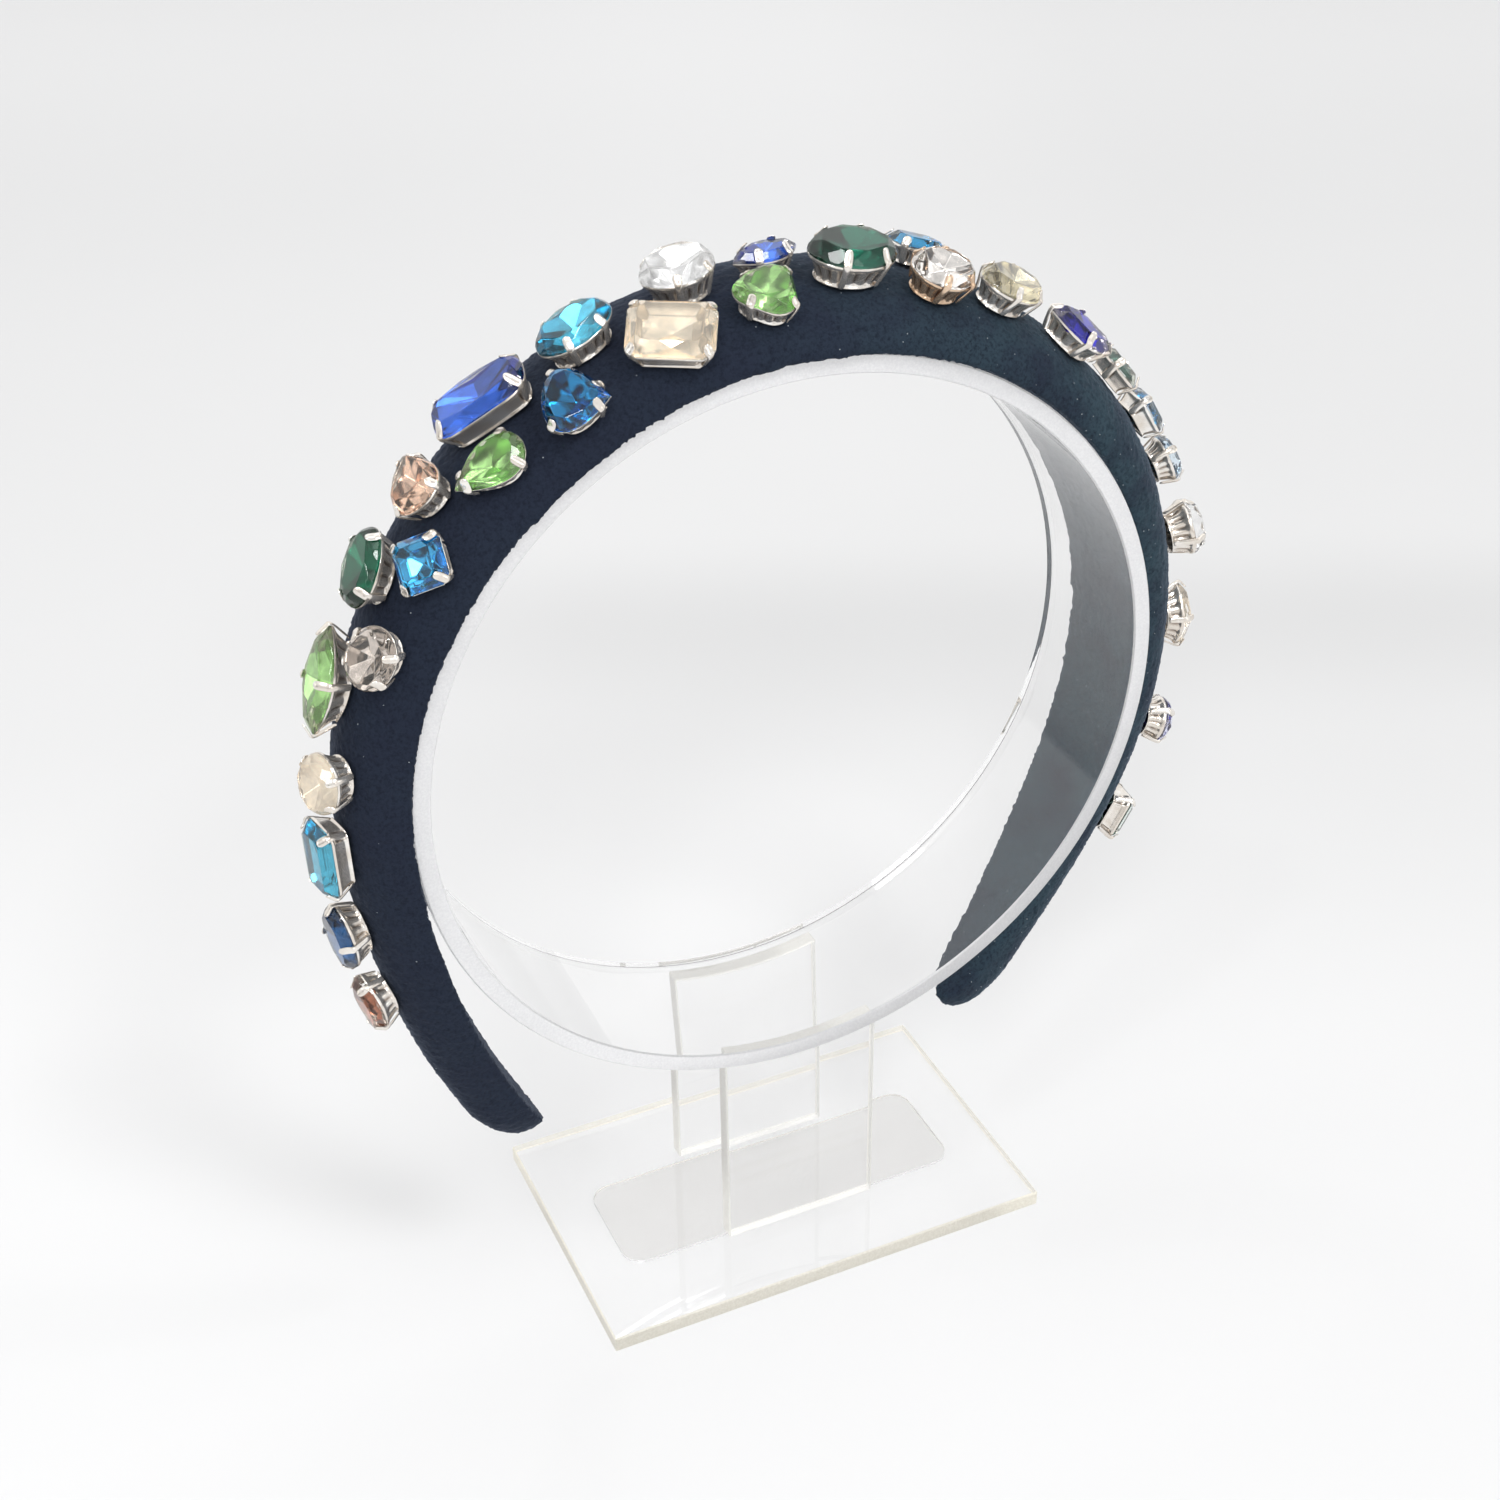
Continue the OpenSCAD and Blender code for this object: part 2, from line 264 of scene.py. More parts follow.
# each patch is a soft oval of painted light (lift over 1) or painted shadow (lift under 1)
for patch in floorLook["patches"]:
    spot = nodes.new("ShaderNodeCombineXYZ")
    for axis, run, middle, reach in (("X", away, patch["away"], patch["deep"]),
                                     ("Y", sideways, patch["aside"], patch["wide"])):
        links.new(addMath(nodes, links, "MULTIPLY_ADD", run, 1 / reach, -middle / reach), spot.inputs[axis])
    radius = addNode(nodes, "ShaderNodeVectorMath", operation="LENGTH")
    links.new(spot.outputs[0], radius.inputs[0])
    oval = addSpan(nodes, links, radius.outputs["Value"], spanOut=(patch["lift"], 1.0), kind="SMOOTHSTEP")
    lightness = addMath(nodes, links, "MULTIPLY", lightness, oval)
# the painted tones times the grain and the painted light and shade
paintedLightAndGrain = addNode(nodes, "ShaderNodeVectorMath", operation="SCALE")
links.new(paintedFloor, paintedLightAndGrain.inputs[0])
links.new(lightness, paintedLightAndGrain.inputs["Scale"])
links.new(paintedLightAndGrain.outputs["Vector"], nodes["Principled BSDF"].inputs["Base Color"])
setShader(nodes, Roughness=0.8, Specular_IOR_Level=0.2)
addBump(nodes, links, speckle.outputs["Height"], strength=0.05, distance=0.1 * mm)
floor.data.materials.append(paper)
print("floor laid")


# Soft studio: an even sky that lights dull things, and a backdrop behind the floor. Shiny things show bright and
# dark screens instead, with a white panel at the rear. Large lamps give the shape, and small ones sparkle
studio = {"sky": 0.855, "backdrop": 0.92, "screenScale": 2.8,
          "screens": [(0.36, 0.10), (0.43, 0.80), (0.58, 0.95), (0.66, 2.0)],
          "panel": {"toward": (0, 1, 0), "span": (0.45, 0.56), "level": 1.12}, "lamps": [
    {"name": "key_lamp", "place": (-0.55, -0.98, 1.08), "aim": (0, 0, 0.1), "size": 0.45, "power": 6.7},
    {"name": "top_lamp", "place": (0.1, 0.2, 1.5), "aim": (0, 0, 0.1), "size": 1.2, "power": 2.4},
    {"name": "front_lamp", "place": (0.22, -0.75, 1.10), "aim": (0, 0, 0.05), "size": 0.30, "power": 3.9},
    {"name": "rear_spark", "place": (-0.15, 0.55, 1.1), "aim": (0, 0, 0.15), "size": 0.06, "power": 0.25},
    {"name": "left_spark", "place": (-0.42, -0.30, 1.0), "aim": (0, 0, 0.15), "size": 0.07, "power": 0.4},
    {"name": "right_spark", "place": (0.6, -0.3, 0.8), "aim": (0, 0, 0.15), "size": 0.07, "power": 0.4}]}
world = bpy.data.worlds.new("studio")
scene.world = world
world.use_nodes = True
nodes, links = world.node_tree.nodes, world.node_tree.links
place = nodes.new("ShaderNodeTexCoord")
clouds = addNode(nodes, "ShaderNodeTexNoise", Scale=studio["screenScale"], Detail=1.0)
links.new(place.outputs["Generated"], clouds.inputs["Vector"])
screens = addRamp(nodes, [(spot, grey(level)) for spot, level in studio["screens"]])
links.new(clouds.outputs["Fac"], screens.inputs["Fac"])
panel = addNode(nodes, "ShaderNodeVectorMath", operation="DOT_PRODUCT")
links.new(place.outputs["Generated"], panel.inputs[0])
panel.inputs[1].default_value = studio["panel"]["toward"]
within = addSpan(nodes, links, panel.outputs["Value"], studio["panel"]["span"])
shown = mixColours(nodes, links, within, screens.outputs["Color"], grey(studio["panel"]["level"]))
path = nodes.new("ShaderNodeLightPath")
dull = addMath(nodes, links, "MINIMUM", path.outputs["Diffuse Depth"], 1.0)
lit = mixColours(nodes, links, dull, shown, grey(studio["sky"]))
links.new(mixColours(nodes, links, path.outputs["Is Camera Ray"], lit, grey(studio["backdrop"])),
          nodes["Background"].inputs["Color"])
for lamp in studio["lamps"]:
    aim = Vector(lamp["aim"]) - Vector(lamp["place"])
    turn = aim.to_track_quat("-Z", "Y").to_euler()
    bpy.ops.object.light_add(type="AREA", location=lamp["place"], rotation=turn)
    light = bpy.context.object
    light.name = lamp["name"]
    light.data.shape = "SQUARE"
    light.data.size = lamp["size"]
    light.data.energy = lamp["power"]
print("studio lit")


# Clear sheet, smudged a little on its polished faces and frosted on its sawn edges
standLook = {"face": colour(254, 254, 254), "film": colour(251, 251, 251), "edge": colour(238, 234, 222),
             "edgeShade": colour(222, 217, 203), "side": colour(233, 232, 228), "sideShade": colour(222, 220, 214),
             "rim": colour(229, 229, 230), "rimShade": colour(216, 216, 218), "density": 1.49, "smudge": 0.04,
             "frost": 0.4, "shadow": 0.05, "bevel": 0.25 * mm, "smoothUnder": 12}


def addLetThrough(nodes, links):
    # light on its way between dull things and the lamps goes straight through,
    # so the sheet throws hardly any shadow
    path = nodes.new("ShaderNodeLightPath")
    passing = addMath(nodes, links, "MAXIMUM", path.outputs["Is Shadow Ray"], path.outputs["Diffuse Depth"])
    body = addSpan(nodes, links, passing, spanOut=(1.0, standLook["shadow"]))
    links.new(body, nodes["Principled BSDF"].inputs["Alpha"])


def makeClear(name):
    clear, nodes, links = newMaterial(name)
    speckle = addSpeckle(nodes, broad=45.0, fine=1800.0, cover=0.6)
    setPaint(nodes, links, speckle.outputs["Broad mask"], standLook["face"], standLook["film"])
    smudge = addSpan(nodes, links, speckle.outputs["Broad mask"], spanOut=(0.0, standLook["smudge"]))
    links.new(smudge, nodes["Principled BSDF"].inputs["Roughness"])
    setShader(nodes, Transmission_Weight=1.0, IOR=standLook["density"])
    addLetThrough(nodes, links)
    return clear


def makeSawn(name, paint, shade, clearness, glow):
    # sawn edges glow a little with painted light, standing in for the sheet's light that they gather
    sawn, nodes, links = newMaterial(name)
    speckle = addSpeckle(nodes, broad=200.0, fine=2600.0, cover=0.6)
    setPaint(nodes, links, speckle.outputs["Fine mask"], paint, shade)
    setShader(nodes, Transmission_Weight=clearness, IOR=standLook["density"], Roughness=standLook["frost"],
              Emission_Color=grey(1.0), Emission_Strength=glow)
    addBump(nodes, links, speckle.outputs["Height"], strength=0.3, distance=0.05 * mm)
    addLetThrough(nodes, links)
    return sawn


clearSheet = makeClear("clear_sheet")
plateEdge = makeSawn("sawn_plate_edge", standLook["edge"], standLook["edgeShade"], clearness=0.35, glow=0.02)
sheetEdge = makeSawn("sawn_upright_edge", standLook["side"], standLook["sideShade"], clearness=0.35, glow=0.02)
ringEdge = makeSawn("turned_ring_edge", standLook["rim"], standLook["rimShade"], clearness=0.45, glow=0.03)


def addBevel(piece, width, segments):
    # the angle limit keeps round walls as they are
    bevel = piece.modifiers.new("bevel", "BEVEL")
    bevel.width = width
    bevel.segments = segments
    bevel.limit_method = "ANGLE"
    bevel.angle_limit = math.radians(40)


def finishClear(piece, nodeName, edgeFinish, isEdge, cutter=None):
    # small bevels, then what the cutter takes out, frosted where isEdge says so
    onlySelect(piece)
    bpy.ops.object.transform_apply(location=True, rotation=True, scale=True)
    addBevel(piece, standLook["bevel"], segments=1)
    if cutter:
        cut = piece.modifiers.new("cut", "BOOLEAN")
        cut.object = cutter
    applyModifiers(piece)
    piece.data.materials.clear()
    piece.data.materials.append(clearSheet)
    piece.data.materials.append(edgeFinish)
    for face in piece.data.polygons:
        face.material_index = 1 if isEdge(face) else 0
    bpy.ops.object.shade_smooth_by_angle(angle=math.radians(standLook["smoothUnder"]))
    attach(piece, "root")
    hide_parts(nodeName)


# The pad in the plate's pocket, whose walls stand spare clear of it
padLook = {"paint": colour(208, 207, 206), "shade": colour(202, 201, 200), "frost": 0.6, "corner": 3.5 * mm,
           "bevel": 0.08 * mm, "spare": 0.1 * mm, "pocketDepth": 0.5 * mm}


def roundedBlock(low, high, corner):
    # a block whose upright edges are rounded
    bpy.ops.mesh.primitive_cube_add(size=1, location=(low + high) / 2, scale=high - low)
    block = bpy.context.object
    bpy.ops.object.transform_apply(location=True, rotation=True, scale=True)
    bpy.ops.object.mode_set(mode="EDIT")
    bpy.ops.mesh.select_mode(type="EDGE")
    bpy.ops.mesh.select_all(action="DESELECT")
    bpy.ops.object.mode_set(mode="OBJECT")
    for edge in block.data.edges:
        ends = [block.data.vertices[i].co for i in edge.vertices]
        edge.select = abs(ends[0].z - ends[1].z) > (high.z - low.z) / 2
    bpy.ops.object.mode_set(mode="EDIT")
    bpy.ops.mesh.bevel(offset=corner, segments=8)
    bpy.ops.object.mode_set(mode="OBJECT")
    return block


def makePlate():
    low, high = boxOf("stand_base")
    padLow, padHigh = boxOf("frosted_pad")
    padLow.z, padHigh.z = -padLook["pocketDepth"], padLook["pocketDepth"]
    spare = Vector((padLook["spare"], padLook["spare"], 0))
    cutter = roundedBlock(padLow - spare, padHigh + spare, padLook["corner"] + padLook["spare"])
    bpy.ops.mesh.primitive_cube_add(size=1, location=(low + high) / 2, scale=high - low)
    plate = bpy.context.object
    plate.name = "clear_base_plate"
    bpy.ops.object.transform_apply(location=True, rotation=True, scale=True)
    insideX, insideY = high.x - 2 * standLook["bevel"], high.y - 2 * standLook["bevel"]

    def isOuterWall(face):
        return abs(face.normal.z) < 0.9 and (abs(face.center.x) > insideX or abs(face.center.y) > insideY)

    finishClear(plate, "stand_base", plateEdge, isOuterWall, cutter)
    bpy.data.objects.remove(cutter)


# The uprights are cut to the ring on top, with a gap for the glue
ringShape = {"wall": 3 * mm, "steps": 160, "weld": 0.01 * mm, "glueGap": 0.1 * mm, "uprightColumns": 24}


def makeUpright(nodeName):
    low, high = boxOf(nodeName)
    ringLow, ringHigh = boxOf("stand_ring")
    ringMiddle = (ringLow + ringHigh) / 2
    reach = (ringHigh.x - ringLow.x) / 2 + ringShape["glueGap"]
    bpy.ops.mesh.primitive_grid_add(x_subdivisions=ringShape["uprightColumns"], y_subdivisions=1, size=1,
                                    location=(0, 0, 0))
    upright = bpy.context.object
    upright.name = nodeName.replace("upright", "clear_upright")
    for vertex in upright.data.vertices:
        x = vertex.co.x * (high.x - low.x)
        top = ringMiddle.z - math.sqrt(reach ** 2 - x ** 2)
        vertex.co = (x, low.y, low.z if vertex.co.y < 0 else top)
    bpy.ops.object.mode_set(mode="EDIT")
    bpy.ops.mesh.select_all(action="SELECT")
    bpy.ops.mesh.extrude_region_move(TRANSFORM_OT_translate={"value": (0, high.y - low.y, 0)})
    turnOutward()
    finishClear(upright, nodeName, sheetEdge, lambda face: abs(face.normal.y) < 0.9)


def makeRing():
    low, high = boxOf("stand_ring")
    middle = (low + high) / 2
    wall = ringShape["wall"]
    bpy.ops.mesh.primitive_plane_add(size=1, location=(0, middle.y, high.z - wall / 2),
                                     rotation=(0, math.radians(90), 0), scale=(wall, high.y - low.y, 1))
    ring = bpy.context.object
    ring.name = "clear_ring"
    bpy.ops.object.transform_apply(location=True, rotation=True, scale=True)
    for vertex in ring.data.vertices:
        vertex.co.y = high.y if vertex.co.y > middle.y else low.y
        vertex.co.z = high.z if vertex.co.z > high.z - wall / 2 else high.z - wall
        vertex.co.x = 0
    bpy.ops.object.mode_set(mode="EDIT")
    bpy.ops.mesh.select_all(action="SELECT")
    bpy.ops.mesh.delete(type="ONLY_FACE")
    bpy.ops.mesh.select_all(action="SELECT")
    bpy.ops.mesh.spin(steps=ringShape["steps"], angle=math.radians(360), center=middle, axis=(0, 1, 0))
    bpy.ops.mesh.select_all(action="SELECT")
    bpy.ops.mesh.remove_doubles(threshold=ringShape["weld"])
    turnOutward()
    finishClear(ring, "stand_ring", ringEdge, lambda face: face.normal.y < -0.5)


def makePad():
    frosted, nodes, links = newMaterial("frosted_film")
    speckle = addSpeckle(nodes, broad=120.0, fine=3000.0, cover=0.5)
    setPaint(nodes, links, speckle.outputs["Fine mask"], padLook["paint"], padLook["shade"])
    setShader(nodes, Roughness=padLook["frost"])
    addBump(nodes, links, speckle.outputs["Height"], strength=0.2, distance=0.05 * mm)
    pad = roundedBlock(*boxOf("frosted_pad"), padLook["corner"])
    pad.name = "frosted_film"
    addBevel(pad, padLook["bevel"], segments=2)
    applyModifiers(pad)
    pad.data.materials.clear()
    pad.data.materials.append(frosted)
    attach(pad, "root")
    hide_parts("frosted_pad")


makePlate()
makeUpright("upright_front")
makeUpright("upright_rear")
makeRing()
makePad()
print("stand finished")


# Velvet: mottled pile, greener towards the right, with pale specks of lint. From one end of the turn to
# the other, in metres, the share of green goes from the first to the second of greenShare
velvetLook = {"dark": colour(18, 23, 36), "light": colour(29, 35, 50), "teal": colour(12, 27, 37),
              "tealLight": colour(48, 67, 76), "turn": (-0.01, 0.05), "greenShare": (0.08, 0.78),
              "lint": colour(150, 158, 164), "lintScale": 900.0, "lintSize": 0.085, "lintShare": 0.6,
              "sheen": 0.35, "sheenTint": colour(150, 160, 180), "sheenRough": 0.35, "rough": 0.9, "gloss": 0.15}
velvet, nodes, links = newMaterial("navy_velvet")
speckle = addSpeckle(nodes, broad=95.0, fine=1700.0, cover=0.8)
grain = mixColours(nodes, links, speckle.outputs["Fine mask"], velvetLook["dark"], velvetLook["light"])
greenGrain = mixColours(nodes, links, speckle.outputs["Fine mask"], velvetLook["teal"], velvetLook["tealLight"])
place = nodes.new("ShaderNodeTexCoord")
split = nodes.new("ShaderNodeSeparateXYZ")
links.new(place.outputs["Object"], split.inputs[0])
green = addSpan(nodes, links, split.outputs["X"], velvetLook["turn"], velvetLook["greenShare"])
patches = addMath(nodes, links, "MULTIPLY", speckle.outputs["Broad mask"], green)
mottled = mixColours(nodes, links, patches, grain, greenGrain)
# a cell holds a speck where its random value is under the share, which falls towards the left
cells = addNode(nodes, "ShaderNodeTexVoronoi", Scale=velvetLook["lintScale"])
links.new(place.outputs["Object"], cells.inputs["Vector"])
near = addMath(nodes, links, "LESS_THAN", cells.outputs["Distance"], velvetLook["lintSize"])
cellValue = nodes.new("ShaderNodeSeparateXYZ")
links.new(cells.outputs["Color"], cellValue.inputs[0])
share = addMath(nodes, links, "MULTIPLY", green, velvetLook["lintShare"])
chosen = addMath(nodes, links, "LESS_THAN", cellValue.outputs["X"], share)
lint = addMath(nodes, links, "MULTIPLY", near, chosen)
setPaint(nodes, links, lint, mottled, velvetLook["lint"])
setShader(nodes, Roughness=velvetLook["rough"], Specular_IOR_Level=velvetLook["gloss"],
          Sheen_Weight=velvetLook["sheen"], Sheen_Tint=velvetLook["sheenTint"],
          Sheen_Roughness=velvetLook["sheenRough"])
addBump(nodes, links, speckle.outputs["Height"], strength=0.5, distance=0.2 * mm)


# Padded band: the frame's own shape, with its pile raised on it
bandShape = {"weld": 0.001 * mm, "grain": 0.55 * mm, "rounding": 6, "pile": 0.26 * mm, "pileSize": 0.4 * mm,
             "swell": 0.12 * mm, "swellSize": 9 * mm}
band = copyPiece(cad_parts["padded_band"], "velvet_band")
onlySelect(band)
bpy.ops.object.mode_set(mode="EDIT")
bpy.ops.mesh.select_all(action="SELECT")
bpy.ops.mesh.remove_doubles(threshold=bandShape["weld"])
bpy.ops.object.mode_set(mode="OBJECT")
remesh = band.modifiers.new("remesh", "REMESH")
remesh.mode = "VOXEL"
remesh.voxel_size = bandShape["grain"]
smooth = band.modifiers.new("smooth", "SMOOTH")
smooth.iterations = bandShape["rounding"]
for name, height, size in (("swell", bandShape["swell"], bandShape["swellSize"]),
                           ("pile", bandShape["pile"], bandShape["pileSize"])):
    clouds = bpy.data.textures.new(name, "CLOUDS")
    clouds.noise_scale = size
    clouds.noise_depth = 1
    raised = band.modifiers.new(name, "DISPLACE")
    raised.texture = clouds
    raised.texture_coords = "LOCAL"
    raised.strength = 2 * height
applyModifiers(band)
bpy.ops.object.shade_smooth()
band.data.materials.clear()
band.data.materials.append(velvet)
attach(band, "root")
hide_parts("padded_band")
print("band made,", len(band.data.polygons), "faces")


# Outlines that the stones and their cups share, half length and half width 1. The pear and the trillion are
# divided by their own width. The long cuts have straight sides, and only their middle is stretched
outlineShape = {"points": 32, "pearWidth": 0.77, "trillionBulge": 0.11, "trillionWidth": 0.935,
                "oblongPower": 0.74, "cornerCut": 0.34, "middle": 0.4}
longCuts = ("octagon", "oblong")


def outlineOf(cut):
    points = []
    for i in range(outlineShape["points"]):
        angle = math.radians(360 / outlineShape["points"] * i)
        x, y = math.cos(angle), math.sin(angle)
        if cut == "navette":
            y *= abs(y)
        elif cut == "pear":
            y *= abs(math.sin(angle / 2)) / outlineShape["pearWidth"]
        elif cut == "trillion":
            reach = 1 - outlineShape["trillionBulge"] + outlineShape["trillionBulge"] * math.cos(3 * angle)
            x, y = reach * x, reach * y / outlineShape["trillionWidth"]
        elif cut == "oblong":
            x = math.copysign(abs(x) ** outlineShape["oblongPower"], x)
            y = math.copysign(abs(y) ** outlineShape["oblongPower"], y)
        points.append((x, y))
    if cut == "octagon":
        side = 1 - outlineShape["cornerCut"]
        quarter = [(1, 0), (1, 0.25), (1, 0.5), (1, side), ((1 + side) / 2, (1 + side) / 2), (side, 1),
                   (0.5, 1), (0.25, 1)]
        points = quarter + [(-y, x) for x, y in quarter]
        points += [(-x, -y) for x, y in points]
    return points


def fitOutline(x, y, halfLength, halfWidth, cut):
    if cut in longCuts:
        stretch = max(-1, min(1, x / outlineShape["middle"]))
        return halfWidth * x + (halfLength - halfWidth) * stretch, halfWidth * y
    return halfLength * x, halfWidth * y


def reachAt(points, angle):
    # how far the outline reaches in one direction
    return max(x * math.cos(angle) + y * math.sin(angle) for x, y in points)


# Facets of a cut. Each tier is (first angle, step, where it starts, height there, where it ends, height there),
# as shares of the outline's reach and of the crown or the underside, which are both 1 tall in a template
brilliant = {
    "crown": [(0, 45, 1.0, 0.0, 0.78, 1.0), (11.25, 22.5, 1.0, 0.0, 0.84, 1.0), (22.5, 45, 0.89, 0.60, 0.72, 1.0)],
    "under": [(22.5, 45, 1.0, 0.0, 0.0, 1.0), (11.25, 22.5, 1.0, 0.0, 0.20, 1.0)]}
plain = {
    "crown": [(0, 45, 1.0, 0.0, 0.70, 1.0)],
    "under": [(22.5, 45, 1.0, 0.0, 0.0, 1.0)]}
stepped = {
    "crown": [(0, 45, 1.0, 0.0, 0.82, 0.6), (0, 45, 0.90, 0.35, 0.66, 1.0)],
    "under": [(0, 45, 1.0, 0.0, 0.55, 0.62), (22.5, 45, 0.86, 0.35, 0.1, 1.0), (0, 90, 0.80, 0.45, 0.0, 1.0)]}
# Flats that meet under flatUnder, in degrees, are one facet
cutShape = {"girdle": 0.2, "weld": 0.004, "flatUnder": 1.5}


def cutTemplate(cut):
    points = outlineOf(cut)
    bpy.ops.mesh.primitive_circle_add(vertices=len(points), radius=1, fill_type="NGON", location=(0, 0, 0))
    stone = bpy.context.object
    stone.name = "cut_" + cut
    for vertex, (x, y) in zip(stone.data.vertices, points):
        vertex.co = (x, y, -cutShape["girdle"] - 1)
    bpy.ops.object.mode_set(mode="EDIT")
    bpy.ops.mesh.select_all(action="SELECT")
    bpy.ops.mesh.extrude_region_move(TRANSFORM_OT_translate={"value": (0, 0, 2 + cutShape["girdle"])})
    bpy.ops.mesh.select_all(action="SELECT")
    bpy.ops.mesh.normals_make_consistent(inside=False)
    plan = {"octagon": stepped, "navette": plain}.get(cut, brilliant)
    for side, base, tiers in ((1, 0, plan["crown"]), (-1, -cutShape["girdle"], plan["under"])):
        for first, step, start, startHeight, end, endHeight in tiers:
            for k in range(round(360 / step)):
                angle = math.radians(first + k * step)
                reach = reachAt(points, angle)
                rise, run = endHeight - startHeight, (start - end) * reach
                normal = Vector((rise * math.cos(angle), rise * math.sin(angle), side * run))
                point = Vector((start * reach * math.cos(angle), start * reach * math.sin(angle),
                                base + side * startHeight))
                bpy.ops.mesh.select_all(action="SELECT")
                bpy.ops.mesh.bisect(plane_co=point, plane_no=normal, use_fill=True, clear_outer=True)
    bpy.ops.mesh.select_all(action="SELECT")
    bpy.ops.mesh.remove_doubles(threshold=cutShape["weld"])
    bpy.ops.mesh.dissolve_limited(angle_limit=math.radians(cutShape["flatUnder"]))
    turnOutward()
    return stone


cutNames = ("oval", "navette", "pear", "trillion", "octagon", "oblong")
cutTemplates = {cut: cutTemplate(cut) for cut in cutNames}
print("cuts made:", {cut: len(stone.data.polygons) for cut, stone in cutTemplates.items()})


# A stone of the frame has four levels: its keel, the girdle's two edges and its table, which is a share of the
# rim. Levels are further apart than apart, round outlines have 16 corners, and an outline whose spread is under
# square is as long as wide
seat = {"keel": 0.72 * mm, "girdle": 0.5 * mm, "table": 0.6, "corners": 16, "apart": 0.1 * mm, "square": 0.01}


def upOf(mesh):
    # the normal of the largest flat, which is the table
    areas = {}
    for face in mesh.polygons:
        key = tuple(round(c, 2) for c in face.normal)
        total, normals = areas.get(key, (0.0, Vector()))
        areas[key] = (total + face.area, normals + face.normal * face.area)
    return max(areas.values(), key=lambda item: item[0])[1].normalized()


def longWay(flat):
    # where an outline spreads most, or along the longest side of a square one
    xx = sum(x * x for x, y in flat)
    yy = sum(y * y for x, y in flat)
    xy = sum(x * y for x, y in flat)
    if math.hypot(xx - yy, 2 * xy) / (xx + yy) >= seat["square"]:
        return math.atan2(2 * xy, xx - yy) / 2
    ordered = sorted(flat, key=lambda point: math.atan2(point[1], point[0]))
    pairs = zip(ordered, ordered[1:] + ordered[:1])
    (startX, startY), (endX, endY) = max(pairs, key=lambda pair: math.dist(*pair))
    return math.atan2(endY - startY, endX - startX)


def stoneSeat(name, cut):
    # the stone's axes as a matrix whose origin is on the velvet, its half length, half width and heights
    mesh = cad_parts[name].data
    up = upOf(mesh)
    corners = {tuple(round(c, 7) for c in vertex.co) for vertex in mesh.vertices}
    corners = [Vector(corner) for corner in corners]
    heights = sorted({round(corner.dot(up), 5) for corner in corners})
    levels = [heights[0]]
    for height in heights:
        if height - levels[-1] > seat["apart"]:
            levels.append(height)
    keel, low, high, top = levels

    def ringAt(level):
        return [corner for corner in corners if abs(corner.dot(up) - level) < seat["apart"] / 2]

    rim, table = ringAt(high), ringAt(top)
    rimMiddle = sum(rim, Vector()) / len(rim)
    tableMiddle = sum(table, Vector()) / len(table)
    middle = (tableMiddle - seat["table"] * rimMiddle) / (1 - seat["table"])
    middle += (keel - seat["keel"] - middle.dot(up)) * up
    side = up.orthogonal().normalized()
    other = up.cross(side)
    turn = longWay([((corner - middle).dot(side), (corner - middle).dot(other)) for corner in rim])
    along = math.cos(turn) * side + math.sin(turn) * other
    across = up.cross(along)
    # a pear's point looks along
    lean = sum((c - middle).dot(along) * (c - middle).dot(across) ** 2 for c in rim)
    if lean > 0:
        along, across = -along, -across
    halfLength = max(abs((corner - middle).dot(along)) for corner in rim)
    halfWidth = max(abs((corner - middle).dot(across)) for corner in rim)
    # a round outline's corners stand half a step off its ends
    shortfall = math.cos(math.radians(180 / seat["corners"]))
    if cut not in longCuts:
        halfLength /= shortfall
        halfWidth /= shortfall if cut in ("oval", "navette") else 1.0
    matrix = Matrix((along, across, up)).transposed().to_4x4()
    matrix.translation = middle
    return {"matrix": matrix, "halfLength": halfLength, "halfWidth": halfWidth, "crown": top - high,
            "rim": high - keel + seat["keel"]}
